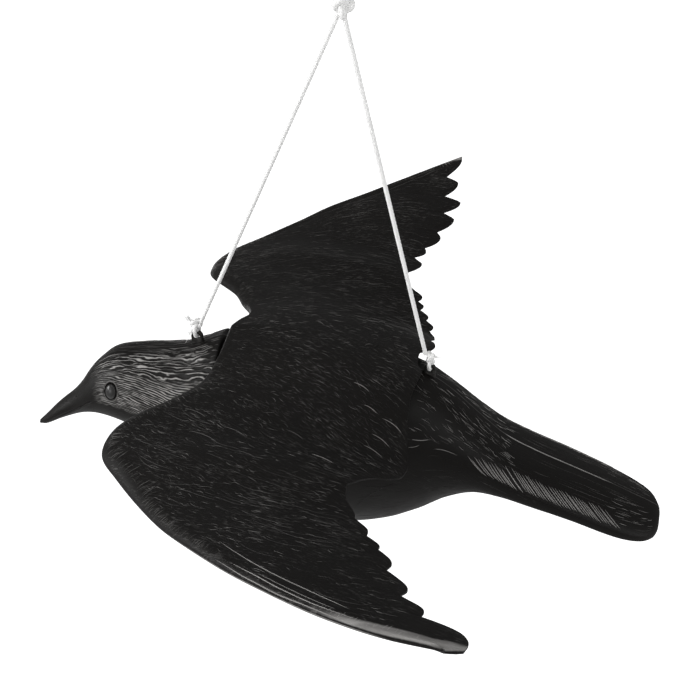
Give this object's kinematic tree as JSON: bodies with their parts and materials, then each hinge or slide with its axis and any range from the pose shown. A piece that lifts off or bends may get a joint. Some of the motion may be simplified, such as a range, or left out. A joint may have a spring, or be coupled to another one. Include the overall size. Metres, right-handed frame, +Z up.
{
  "type": "hanging crow decoy bird scarer",
  "caption": "Hollow moulded crow decoy with spread wings in a lift-off saddle, hung level on a cord bridle tied to lugs on its nape and rump, as a bird scarer.",
  "frame": {"origin": "inside top of the hanging loop, the point where a hook or line bears", "axes": "+X towards the tail, +Y towards the bird's right wing, +Z up as it hangs"},
  "size_m": [0.492, 0.611, 0.4283],
  "materials": {
    "body_plastic": "black moulded plastic, satin, engraved feather lines",
    "wing_plastic": "black moulded plastic, satin, fine feather relief",
    "eye_plastic": "black, polished dome",
    "cord": "white braided cord"
  },
  "bodies": {
    "bridle": {"cord_front": "cord", "cord_rear": "cord", "top_knot": "cord", "hanging_loop": "cord"},
    "bird": {"body_left_shell": "body_plastic", "body_right_shell": "body_plastic", "left_eye": "eye_plastic", "right_eye": "eye_plastic", "nape_tie": "cord", "rump_tie": "cord"},
    "saddle": {"wing_saddle": "wing_plastic", "left_wing_underside": "wing_plastic", "right_wing_underside": "wing_plastic"}
  },
  "joints": [
    {"name": "bird_roll", "type": "hinge", "parent": "bridle", "child": "bird", "pos_m": [-0.111, 0, -0.2678], "axis": [0.9976, 0, -0.0688], "range_deg": [-45, 45]},
    {"name": "saddle_lift", "type": "slide", "parent": "bird", "child": "saddle", "axis": [0, 0, 1], "range_m": [0, 0.01]}
  ]
}
